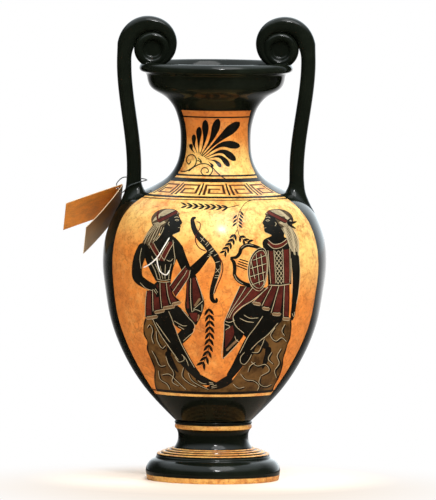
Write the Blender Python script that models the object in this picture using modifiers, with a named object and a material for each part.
"""Amphora with volute handles and a folded card tag on a wire tie.

The vessel is made in turned sections (foot, stem, bowl, shoulder, neck, mouth) that meet at thin slip seams.
Two strap handles rise from the shoulder, pass above the lip and roll into volutes that sit in a saddle on it.
Units are metres, +Z is up, and the origin is on the axis, where the foot stands.
"""

import math

import bmesh
import bpy
import numpy as np
from mathutils import Matrix, Vector

# Slip seam between luted sections, and the clearance of everything that seats on something else
SEAM = 0.0003

# Foot
FOOT_RADIUS = 0.0579
FOOT_HEIGHT = 0.0266
FOOT_BASE_RADIUS = 0.0556
FOOT_BAND_HEIGHT = 0.0039
FOOT_TORUS_HEIGHT = 0.0078
FOOT_RIM_RADIUS = 0.0491
FOOT_RIM_TOP = 0.0205
FOOT_RIM_HEIGHT = 0.0022
FOOT_STEPS = 3
FOOT_FLOOR = 0.0060
FOOT_WALL = 0.0090

# Stem and its collar
STEM_BASE_RADIUS = 0.0336
STEM_HEIGHT = 0.0241
STEM_WAIST_RADIUS = 0.0295
STEM_BORE_RADIUS = 0.0240
COLLAR_RADIUS = 0.0329
COLLAR_HEIGHT = 0.0065

# Bowl and shoulder
BOWL_BASE_RADIUS = 0.0330
BOWL_HEIGHT = 0.1377
BELLY_RADIUS = 0.0965
SHOULDER_HEIGHT = 0.0724
WALL = 0.0050

# Neck and mouth
NECK_BASE_RADIUS = 0.0400
NECK_RADIUS = 0.0302
NECK_TOP_RADIUS = 0.0352
NECK_HEIGHT = 0.0572
CUP_RADIUS = 0.0586
CUP_HEIGHT = 0.0275
LIP_RADIUS = 0.0650
LIP_HEIGHT = 0.0130

# Handles
HANDLE_ROOT_RADIUS = 0.0700
HANDLE_TOP_RADIUS = 0.0788
HANDLE_WIDTH = 0.0128
HANDLE_DEPTH = 0.0155
ROOT_FLARE = 0.0016
ROOT_FLARE_HEIGHT = 0.0090
ROOT_SINK = 0.0110
SCROLL_SPREAD = 0.0024
SCROLL_SPREAD_HEIGHT = 0.0120
VOLUTE_RADIUS = 0.0284
VOLUTE_RISE = 0.0153
VOLUTE_WEB_RADIUS = 0.0150
GROOVE_DEPTH = 0.0035
EYE_SETBACK = 0.0013

# Card tag and its wire
TAG_LENGTH = 0.0524
TAG_WIDTH = 0.0460
TAG_THICKNESS = 0.0004
TAG_OPENING = math.radians(31.5)
TAG_HOLE_RADIUS = 0.0013
TAG_HOLE_FROM_FOLD = 0.0044
TAG_HOLE_FROM_EDGE = 0.0048
TAG_REACH = 0.0034
TAG_FORWARD = 0.0050
TAG_SEAT = 0.0030
TAG_DROP = 0.0023
WIRE_RADIUS = 0.0004
WIRE_RISE = 0.0115
WIRE_CLIMB = 0.0032

# How the card lies: its fold runs back and down, its back leaf out, forwards and down
TAG_FOLD_DIRECTION = Vector((-0.057, 0.861, -0.506))
TAG_BACK_DIRECTION = Vector((-0.918, -0.242, -0.312))

# Facets
SEGMENTS = 40
HANDLE_SIDES = 12
WEB_SIDES = 24
HOLE_SIDES = 20
WIRE_POINTS = 66

# Curves of the body as (share of the change in radius, share of the height) of each section
BOWL_SHAPE = ((0.132, 0.060), (0.430, 0.211), (0.701, 0.412), (0.877, 0.615), (0.959, 0.811))
SHOULDER_SHAPE = ((0.030, 0.258), (0.119, 0.452), (0.193, 0.590), (0.304, 0.687), (0.496, 0.783), (0.816, 0.905))
NECK_FALL_SHAPE = ((0.388, 0.087), (0.745, 0.210), (0.930, 0.341), (1.0, 0.520))
NECK_RISE_SHAPE = ((0.160, 0.752), (0.680, 0.927))
CUP_SHAPE = ((0.132, 0.178), (0.316, 0.364), (0.603, 0.513), (0.812, 0.622), (0.906, 0.709), (0.970, 0.855))
LIP_UNDER_SHAPE = ((0.06, 0.115), (0.25, 0.246), (0.53, 0.338), (0.84, 0.408))
LIP_BEAD_SHAPE = ((1.0, 0.554), (0.97, 0.738), (0.72, 0.923), (0.41, 1.0), (0.05, 0.954), (-0.16, 0.815))

# Volute: quarter turn, outer radius as a share of VOLUTE_RADIUS, and band as a share of HANDLE_WIDTH
VOLUTE_TURNS = (
    (0.0, 1.000, 1.19),
    (1.0, 0.852, 1.13),
    (2.0, 0.828, 1.15),
    (2.4, 0.815, 1.14),
    (3.0, 0.650, 0.80),
    (3.5, 0.582, 0.76),
    (3.8, 0.520, 0.66),
    (4.0, 0.442, 0.53),
    (5.0, 0.317, 0.34),
    (6.0, 0.268, 0.25),
)

# Where the sway of a handle's shaft starts and ends, as shares of its height, and how square its section is
SWAY_START = 0.17
SWAY_END = 0.89
STRAP_SQUARENESS = 3.0
FLARE_POWER = 1.8

# Shares that set the mouldings of the foot and the stem
STEP_LEAN = 0.12
STEP_DROP = 0.75
TORUS_FULLNESS = 1.3
BAND_LEAN = 0.4
WAIST_LEVEL = 0.42
COLLAR_SEAT = 0.6
COLLAR_EDGE = 0.3

# Heights of the seams, each section standing one seam above the last
STEM_BASE = FOOT_HEIGHT + SEAM
STEM_TOP = STEM_BASE + STEM_HEIGHT
BOWL_BASE = STEM_TOP + SEAM
BOWL_TOP = BOWL_BASE + BOWL_HEIGHT
SHOULDER_BASE = BOWL_TOP + SEAM
SHOULDER_TOP = SHOULDER_BASE + SHOULDER_HEIGHT
NECK_BASE = SHOULDER_TOP + SEAM
NECK_TOP = NECK_BASE + NECK_HEIGHT
MOUTH_BASE = NECK_TOP + SEAM
CUP_TOP = MOUTH_BASE + CUP_HEIGHT
LIP_TOP = CUP_TOP + LIP_HEIGHT

VOLUTE_X = HANDLE_TOP_RADIUS + HANDLE_WIDTH / 2 - VOLUTE_RADIUS
VOLUTE_Z = LIP_TOP + VOLUTE_RISE


def smooth(knots, per_span, closed=False):
    """Points on a cubic curve through the knots, with chord-weighted tangents, per_span to each span."""
    p = np.array(knots, float)
    if closed:
        p = np.vstack([p[-1], p, p[0], p[1]])
    else:
        p = np.vstack([2 * p[0] - p[1], p, 2 * p[-1] - p[-2]])
    d = np.linalg.norm(np.diff(p, axis=0), axis=1)[:, None]
    v = np.diff(p, axis=0) / d
    m = (v[:-1] * d[1:] + v[1:] * d[:-1]) / (d[:-1] + d[1:])
    a, b, h = p[1:-2, None], p[2:-1, None], d[1:-1, None]
    ma, mb = m[:-1, None] * h, m[1:, None] * h
    t = np.linspace(0, 1, per_span, endpoint=False)[None, :, None]
    curve = (2 * t**3 - 3 * t**2 + 1) * a + (t**3 - 2 * t**2 + t) * ma
    curve = curve + (3 * t**2 - 2 * t**3) * b + (t**3 - t**2) * mb
    curve = curve.reshape(-1, p.shape[1])
    return curve if closed else np.vstack([curve, p[-2]])


def evenly(points, count):
    """count points at equal steps along a polyline."""
    along = np.concatenate([[0], np.cumsum(np.linalg.norm(np.diff(points, axis=0), axis=1))])
    at = np.linspace(0, along[-1], count)
    return np.stack([np.interp(at, along, points[:, k]) for k in range(points.shape[1])], axis=1)


def offset(points, distance):
    """A profile that runs down its outer side, moved outwards along its normals."""
    d = np.gradient(points, axis=0)
    d = d / np.linalg.norm(d, axis=1)[:, None]
    return points + distance * np.stack([-d[:, 1], d[:, 0]], axis=1)


def between(start, end, base, height, shape):
    """Knots (radius, height) of one section, from shares of its change in radius and of its height."""
    return [(start + share * (end - start), base + rise * height) for share, rise in shape]


def body_curve():
    """The outer line of the vessel from the bowl's base up to the side of the cup."""
    knots = [(BOWL_BASE_RADIUS, BOWL_BASE)]
    knots += between(BOWL_BASE_RADIUS, BELLY_RADIUS, BOWL_BASE, BOWL_HEIGHT, BOWL_SHAPE)
    knots += [(BELLY_RADIUS, BOWL_TOP)]
    knots += between(BELLY_RADIUS, NECK_BASE_RADIUS, SHOULDER_BASE, SHOULDER_HEIGHT, SHOULDER_SHAPE)
    knots += [(NECK_BASE_RADIUS, NECK_BASE)]
    knots += between(NECK_BASE_RADIUS, NECK_RADIUS, NECK_BASE, NECK_HEIGHT, NECK_FALL_SHAPE)
    knots += between(NECK_RADIUS, NECK_TOP_RADIUS, NECK_BASE, NECK_HEIGHT, NECK_RISE_SHAPE)
    knots += [(NECK_TOP_RADIUS, MOUTH_BASE)]
    knots += between(NECK_TOP_RADIUS, CUP_RADIUS, MOUTH_BASE, CUP_HEIGHT, CUP_SHAPE)
    knots += [(CUP_RADIUS, CUP_TOP)]
    return smooth(knots, 12)


def lip_curve():
    """The moulded lip, from the side of the cup round the crest to the inner edge."""
    knots = [(CUP_RADIUS, CUP_TOP)]
    knots += between(CUP_RADIUS, LIP_RADIUS, CUP_TOP, LIP_HEIGHT, LIP_UNDER_SHAPE + LIP_BEAD_SHAPE)
    return smooth(knots, 6)


OUTER = body_curve()
INNER = offset(OUTER[::-1], -WALL)[::-1]
LIP = lip_curve()


def outer_radius(z):
    """Radius of the outside of the body at height z."""
    return float(np.interp(z, OUTER[:, 1], OUTER[:, 0]))


def shoulder_height(radius):
    """Height of the shoulder's outside at a radius."""
    on = OUTER[(OUTER[:, 1] >= SHOULDER_BASE) & (OUTER[:, 1] <= SHOULDER_TOP)]
    return float(np.interp(-radius, -on[:, 0], on[:, 1]))


def stretch(curve, low, high, count):
    """count points of a rising curve between two heights, cut exactly at both."""
    ends = [(np.interp(z, curve[:, 1], curve[:, 0]), z) for z in (low, high)]
    inside = curve[(curve[:, 1] > low) & (curve[:, 1] < high)]
    return evenly(np.vstack([ends[0], inside, ends[1]]), count)


def wall_profile(low, high, outside, inside):
    """Closed profile of a body section with the vessel's wall between two seams."""
    return np.vstack([stretch(OUTER, low, high, outside)[::-1], stretch(INNER, low, high, inside)])


def foot_profile():
    """From the floor inside the foot up its bore, over the seat and steps, and down the torus to the ground."""
    cavity = FOOT_RADIUS - FOOT_WALL
    inside = [(0, FOOT_FLOOR), (cavity - FOOT_FLOOR, FOOT_FLOOR), (cavity, 2 * FOOT_FLOOR)]
    inside += [(STEM_BORE_RADIUS, FOOT_HEIGHT)]
    steps = []
    run = (FOOT_RIM_RADIUS - STEM_BASE_RADIUS) / FOOT_STEPS
    fall = (FOOT_HEIGHT - FOOT_RIM_TOP) / FOOT_STEPS
    for k in range(FOOT_STEPS):
        r, z = STEM_BASE_RADIUS + k * run, FOOT_HEIGHT - k * fall
        steps += [(r, z), (r + STEP_LEAN * run, z - STEP_DROP * fall)]
    rim_foot = FOOT_RIM_TOP - FOOT_RIM_HEIGHT
    swell = FOOT_RADIUS - FOOT_RIM_RADIUS
    torus = [(FOOT_RIM_RADIUS, FOOT_RIM_TOP), (FOOT_RIM_RADIUS + STEP_LEAN * swell, rim_foot)]
    rise = rim_foot - FOOT_TORUS_HEIGHT
    torus += [(FOOT_RADIUS - swell * (1 - math.sin(a)), FOOT_TORUS_HEIGHT + rise * math.cos(a) ** TORUS_FULLNESS)
              for a in np.radians((38, 58, 76, 90))]
    band = FOOT_RADIUS - BAND_LEAN * (FOOT_RADIUS - FOOT_BASE_RADIUS)
    torus += [(band, FOOT_BAND_HEIGHT), (FOOT_BASE_RADIUS, 0)]
    return inside + steps + torus + [(0, 0)]


def stem_profile():
    """Waisted pedestal under a half-round collar, round a straight bore."""
    collar_base = STEM_TOP - COLLAR_HEIGHT
    under = STEM_WAIST_RADIUS + COLLAR_SEAT * (COLLAR_RADIUS - STEM_WAIST_RADIUS)
    waist = STEM_BASE + WAIST_LEVEL * STEM_HEIGHT
    shaft = smooth([(STEM_BASE_RADIUS, STEM_BASE), (STEM_WAIST_RADIUS, waist), (under, collar_base)], 4)
    bulge = COLLAR_RADIUS - under
    collar = [(under + bulge * math.sin(a), STEM_TOP - COLLAR_HEIGHT * (1 + math.cos(a)) / 2)
              for a in np.radians((60, 90, 120, 150))]
    outside = np.vstack([shaft, collar, [(under + COLLAR_EDGE * bulge, STEM_TOP)]])
    return np.vstack([outside[::-1], [(STEM_BORE_RADIUS, STEM_BASE), (STEM_BORE_RADIUS, STEM_TOP)]])


def mouth_profile():
    """Cup and lip outside, then down the inside of the cup."""
    outside = np.vstack([stretch(OUTER, MOUTH_BASE, CUP_TOP, 9), evenly(LIP, 13)[1:]])
    inside = stretch(INNER, MOUTH_BASE, CUP_TOP - WALL / 2, 8)
    return np.vstack([outside[::-1], inside])


def mesh_object(name, vertices, edges, faces, collection, material=None):
    """A mesh object made from plain lists, in a collection."""
    mesh = bpy.data.meshes.new(name)
    mesh.from_pydata([tuple(map(float, v)) for v in vertices], edges, faces)
    made = bpy.data.objects.new(name, mesh)
    collection.objects.link(made)
    if material:
        mesh.materials.append(material)
    return made


def turned(name, profile, collection, material=None):
    """A profile (radius, height) turned about Z. It closes on itself, or at the axis where it starts there."""
    count = len(profile)
    edges = [(k, k + 1) for k in range(count - 1)]
    if profile[0][0] > 0:
        edges.append((count - 1, 0))
    made = mesh_object(name, [(r, 0, z) for r, z in profile], edges, [], collection, material)
    screw = made.modifiers.new("Turn", "SCREW")
    screw.steps = screw.render_steps = SEGMENTS
    screw.use_merge_vertices = True
    screw.merge_threshold = 0.00001
    screw.use_smooth_shade = True
    return made


def envelope_profile():
    """The outside of shoulder, neck, cup and lip, one seam proud of them: what a handle is cut to seat on."""
    down = np.vstack([evenly(LIP, 13)[::-1], stretch(OUTER, SHOULDER_BASE, CUP_TOP, 44)[::-1][1:]])
    proud = offset(down, SEAM)
    return np.vstack([[(0, proud[0][1])], proud, [(0, proud[-1][1])]])


def shaft_place(z):
    """Distance of a handle's centre line from the axis at height z: a sway between root and volute."""
    root = shoulder_height(HANDLE_ROOT_RADIUS)
    share = (z - root) / (VOLUTE_Z - root)
    u = min(max((share - SWAY_START) / (SWAY_END - SWAY_START), 0), 1)
    return HANDLE_ROOT_RADIUS + (HANDLE_TOP_RADIUS - HANDLE_ROOT_RADIUS) * u * u * (3 - 2 * u)


def shaft_flare(z):
    """How far the strap stands wider each way at height z, where it spreads onto the shoulder."""
    above = (z - shoulder_height(HANDLE_ROOT_RADIUS)) / ROOT_FLARE_HEIGHT
    return ROOT_FLARE * max(0, 1 - above) ** FLARE_POWER


def scroll_spread(z):
    """How much the strap widens towards the scroll, on its inner side, as it nears the volute's level."""
    below = (VOLUTE_Z - z) / SCROLL_SPREAD_HEIGHT
    return SCROLL_SPREAD * max(0, 1 - below) ** 2


def handle_stations():
    """Stations (x, z, normal x, normal z, half width, half depth) up the shaft and round the scroll."""
    root = shoulder_height(HANDLE_ROOT_RADIUS)
    heights = list(np.linspace(root - ROOT_SINK, root + ROOT_FLARE_HEIGHT, 8))
    heights += list(np.linspace(heights[-1], VOLUTE_Z - SCROLL_SPREAD_HEIGHT, 10)[1:])
    heights += [VOLUTE_Z - SCROLL_SPREAD_HEIGHT * k / 4 for k in (3, 2, 1)]
    places = [(shaft_place(z) - scroll_spread(z) / 2, z) for z in heights]
    widths = [HANDLE_WIDTH / 2 + shaft_flare(z) + scroll_spread(z) / 2 for z in heights]
    depths = [HANDLE_DEPTH / 2 + shaft_flare(z) for z in heights]
    for quarter, outer, band in smooth(VOLUTE_TURNS, 5):
        angle = quarter * math.pi / 2
        half = band * HANDLE_WIDTH / 2
        r = outer * VOLUTE_RADIUS - half
        places.append((VOLUTE_X + r * math.cos(angle), VOLUTE_Z + r * math.sin(angle)))
        widths.append(half)
        depths.append(HANDLE_DEPTH / 2 - EYE_SETBACK * quarter / VOLUTE_TURNS[-1][0])
    places = np.array(places)
    along = np.gradient(places, axis=0)
    along = along / np.linalg.norm(along, axis=1)[:, None]
    return [(x, z, dz, -dx, w, d) for (x, z), (dx, dz), w, d in zip(places, along, widths, depths)]


def rounded(angle, power=2 / STRAP_SQUARENESS):
    """A point of the unit section of the strap, a square with well rounded corners."""
    c, s = math.cos(angle), math.sin(angle)
    return math.copysign(abs(c) ** power, c), math.copysign(abs(s) ** power, s)


def handle(name, side, parts, cutters, envelope, material):
    """One strap handle, lofted along its centre line, webbed inside the scroll and seated on shoulder and lip."""
    section = [rounded(2 * math.pi * k / HANDLE_SIDES) for k in range(HANDLE_SIDES)]
    rings = [
        [(side * (x + nx * w * u), d * v, z + nz * w * u) for u, v in section]
        for x, z, nx, nz, w, d in handle_stations()
    ]
    n = HANDLE_SIDES
    faces = [
        (r * n + k, r * n + (k + 1) % n, (r + 1) * n + (k + 1) % n, (r + 1) * n + k)
        for r in range(len(rings) - 1)
        for k in range(n)
    ]
    faces += [tuple(range(n)), tuple(range((len(rings) - 1) * n, len(rings) * n))]
    made = mesh_object(name, [v for ring in rings for v in ring], [], faces, parts, material)
    bm = bmesh.new()
    bm.from_mesh(made.data)
    bmesh.ops.recalc_face_normals(bm, faces=bm.faces)
    bm.to_mesh(made.data)
    bm.free()
    made.data.shade_smooth()
    made.data.set_sharp_from_angle(angle=math.radians(50))
    web = volute_web(name + "_web", side, cutters)
    for label, operation, tool in (("Web", "UNION", web), ("Seat", "DIFFERENCE", envelope)):
        cut = made.modifiers.new(label, "BOOLEAN")
        cut.operation = operation
        cut.object = tool
    return made


def volute_web(name, side, cutters):
    """The closed core of a scroll: a disc that stands back from both faces and floors the grooves and the eye."""
    mesh = bpy.data.meshes.new(name)
    bm = bmesh.new()
    bmesh.ops.create_cone(
        bm,
        cap_ends=True,
        segments=WEB_SIDES,
        radius1=VOLUTE_WEB_RADIUS,
        radius2=VOLUTE_WEB_RADIUS,
        depth=HANDLE_DEPTH - 2 * GROOVE_DEPTH,
    )
    turn = Matrix.Rotation(math.pi / 2, 4, "X")
    bmesh.ops.transform(bm, verts=bm.verts, matrix=Matrix.Translation((side * VOLUTE_X, 0, VOLUTE_Z)) @ turn)
    bm.to_mesh(mesh)
    bm.free()
    made = bpy.data.objects.new(name, mesh)
    cutters.objects.link(made)
    return guide(made)


def guide(made):
    """Marks an object as a tool of the modelling and not a piece."""
    made.hide_render = True
    made.display_type = "WIRE"
    return made


def wire_height():
    """Height at which the wire crosses the front of the handle."""
    return shoulder_height(HANDLE_ROOT_RADIUS) + WIRE_RISE


def tag_axes():
    """Unit vectors along the fold, out along the back leaf, and square to it towards the front leaf."""
    fold = TAG_FOLD_DIRECTION.normalized()
    back = (TAG_BACK_DIRECTION - TAG_BACK_DIRECTION.dot(fold) * fold).normalized()
    return fold, back, back.cross(fold)


def tag_corner():
    """Upper end of the fold: clear of the handle, with the fold's lower end off the shoulder."""
    fold = TAG_FOLD_DIRECTION.normalized() * TAG_WIDTH
    z = wire_height() - TAG_DROP
    beside_handle = shaft_place(z) + HANDLE_WIDTH / 2 + TAG_REACH
    rest = outer_radius(z + fold.z) + TAG_SEAT
    off_shoulder = math.sqrt(rest**2 - (fold.y - TAG_FORWARD) ** 2) + fold.x
    return Vector((-max(beside_handle, off_shoulder), -TAG_FORWARD, z))


def leaf_direction(angle):
    """Direction in the plane square to the fold, turned from the back leaf towards the front one."""
    _, back, front = tag_axes()
    return math.cos(angle) * back + math.sin(angle) * front


def hole_level():
    """Point of the fold that lies level with the holes."""
    fold = tag_axes()[0]
    return tag_corner() + fold * TAG_HOLE_FROM_EDGE


def leaf(name, angle, side, parent, parts, material):
    """One leaf of the card: a flat outline with a punched hole, its inner face just off the fold's plane."""
    data = bpy.data.curves.new(name, "CURVE")
    data.dimensions = "2D"
    data.fill_mode = "BOTH"
    data.extrude = TAG_THICKNESS / 2
    top = -TAG_HOLE_FROM_EDGE
    low, high = SEAM / 2, SEAM / 2 + TAG_LENGTH
    outline = [(low, top), (high, top), (high, top + TAG_WIDTH), (low, top + TAG_WIDTH)]
    turn = [2 * math.pi * k / HOLE_SIDES for k in range(HOLE_SIDES)]
    hole = [(TAG_HOLE_FROM_FOLD + TAG_HOLE_RADIUS * math.cos(a), TAG_HOLE_RADIUS * math.sin(a)) for a in turn]
    for ring in (outline, hole):
        spline = data.splines.new("POLY")
        spline.points.add(len(ring) - 1)
        spline.points.foreach_set("co", [value for x, y in ring for value in (x, y, 0, 1)])
        spline.use_cyclic_u = True
    data.materials.append(material)
    made = bpy.data.objects.new(name, data)
    parts.objects.link(made)
    fold = tag_axes()[0]
    out = leaf_direction(angle)
    normal = out.cross(fold)
    made.parent = parent
    place = Matrix((out, fold, normal)).transposed().to_4x4()
    place.translation = hole_level() + normal * side * (TAG_THICKNESS + SEAM) / 2
    made.matrix_world = place
    return made


def wire_route():
    """Knots of the wire: round the handle on an ellipse that climbs, then round the fold through both holes."""
    z = wire_height()
    corner = (1 / 2) ** (1 / STRAP_SQUARENESS) * math.sqrt(2)
    wide = corner * (HANDLE_WIDTH / 2 + shaft_flare(z)) + SEAM + WIRE_RADIUS
    deep = corner * (HANDLE_DEPTH / 2 + shaft_flare(z)) + SEAM + WIRE_RADIUS
    round_handle = []
    for k in range(9):
        a = math.radians(-150 + k * 300 / 8)
        x = -shaft_place(z) + wide * math.cos(a)
        round_handle.append(Vector((x, deep * math.sin(a), z + WIRE_CLIMB * k / 8)))
    level = hole_level()
    round_fold = [
        level + TAG_HOLE_FROM_FOLD * leaf_direction(math.radians(a)) for a in (-90, -60, -30, 0, 30, 60, 90)
    ]
    return round_handle + round_fold


def wire(name, parts, material):
    """The tie: one closed loop of thin wire."""
    route = smooth([tuple(p) for p in wire_route()], 12, closed=True)
    points = evenly(np.vstack([route, route[:1]]), WIRE_POINTS + 1)[:-1]
    data = bpy.data.curves.new(name, "CURVE")
    data.dimensions = "3D"
    data.bevel_depth = WIRE_RADIUS
    data.bevel_resolution = 2
    spline = data.splines.new("POLY")
    spline.points.add(len(points) - 1)
    spline.points.foreach_set("co", [value for p in points for value in (*p, 1)])
    spline.use_cyclic_u = True
    data.materials.append(material)
    made = bpy.data.objects.new(name, data)
    parts.objects.link(made)
    return made


def empty(name, place, parts, parent=None):
    """A pivot on a joint's axis."""
    made = bpy.data.objects.new(name, None)
    parts.objects.link(made)
    made.empty_display_size = TAG_HOLE_RADIUS
    made.parent = parent
    made.matrix_world = Matrix.Translation(place)
    return made


def finish(name, colour, roughness, metallic=0.0):
    """A plain material with the piece's colour and sheen."""
    made = bpy.data.materials.new(name)
    made.use_nodes = True
    shader = made.node_tree.nodes["Principled BSDF"]
    shader.inputs["Base Color"].default_value = (*colour, 1)
    shader.inputs["Roughness"].default_value = roughness
    shader.inputs["Metallic"].default_value = metallic
    return made


def collection(name):
    """A new collection in the scene."""
    made = bpy.data.collections.new(name)
    bpy.context.scene.collection.children.link(made)
    return made


def main():
    for old in list(bpy.data.objects):
        bpy.data.objects.remove(old)
    parts = collection("amphora")
    cutters = collection("cutters")
    glaze = finish("black_glaze", (0.012, 0.012, 0.011), 0.18)
    clay = finish("painted_clay", (0.62, 0.27, 0.07), 0.30)
    card = finish("kraft_card", (0.42, 0.22, 0.09), 0.85)
    dark_wire = finish("dark_wire", (0.06, 0.06, 0.055), 0.35, 0.9)

    turned("foot", foot_profile(), parts, glaze)
    turned("stem", stem_profile(), parts, glaze)
    turned("belly_bowl", wall_profile(BOWL_BASE, BOWL_TOP, 13, 9), parts, clay)
    turned("shoulder", wall_profile(SHOULDER_BASE, SHOULDER_TOP, 14, 9), parts, clay)
    turned("neck", wall_profile(NECK_BASE, NECK_TOP, 10, 6), parts, clay)
    turned("mouth", mouth_profile(), parts, glaze)

    envelope = guide(turned("seat_envelope", envelope_profile(), cutters))
    handle("handle_left", -1, parts, cutters, envelope, glaze)
    handle("handle_right", 1, parts, cutters, envelope, glaze)

    swing = empty("tag_swing", hole_level() + TAG_HOLE_FROM_FOLD * leaf_direction(TAG_OPENING / 2), parts)
    fold = empty("tag_fold", hole_level(), parts, swing)
    bpy.context.view_layer.update()
    wire("tag_wire", parts, dark_wire)
    leaf("tag_back_leaf", 0, -1, swing, parts, card)
    leaf("tag_front_leaf", TAG_OPENING, 1, fold, parts, card)


main()
